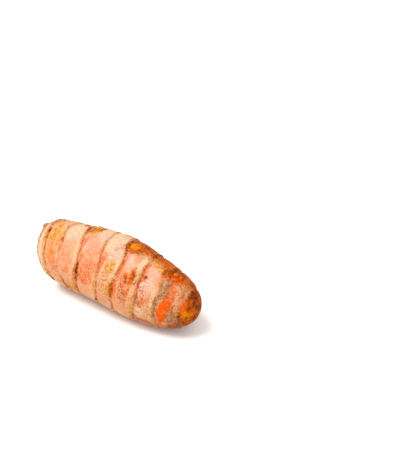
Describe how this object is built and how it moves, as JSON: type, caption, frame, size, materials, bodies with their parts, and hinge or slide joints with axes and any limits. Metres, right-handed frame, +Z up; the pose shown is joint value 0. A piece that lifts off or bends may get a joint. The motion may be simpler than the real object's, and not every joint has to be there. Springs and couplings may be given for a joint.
{
  "type": "turmeric root",
  "caption": "Fresh unpeeled turmeric finger lying on its side, ringed with leaf scars, with buds on top, a rounded growing tip and a broken scar end.",
  "frame": {"origin": "on the resting surface, under the middle of the finger's bounding box", "axes": "+X along the finger towards its growing tip, +Z up from the resting surface, -Y the front"},
  "size_m": [0.0648, 0.0251, 0.025],
  "materials": {
    "turmeric_skin": "thin dry papery skin, low sheen"
  },
  "bodies": {
    "root": {"turmeric_root": "turmeric_skin"}
  },
  "joints": []
}
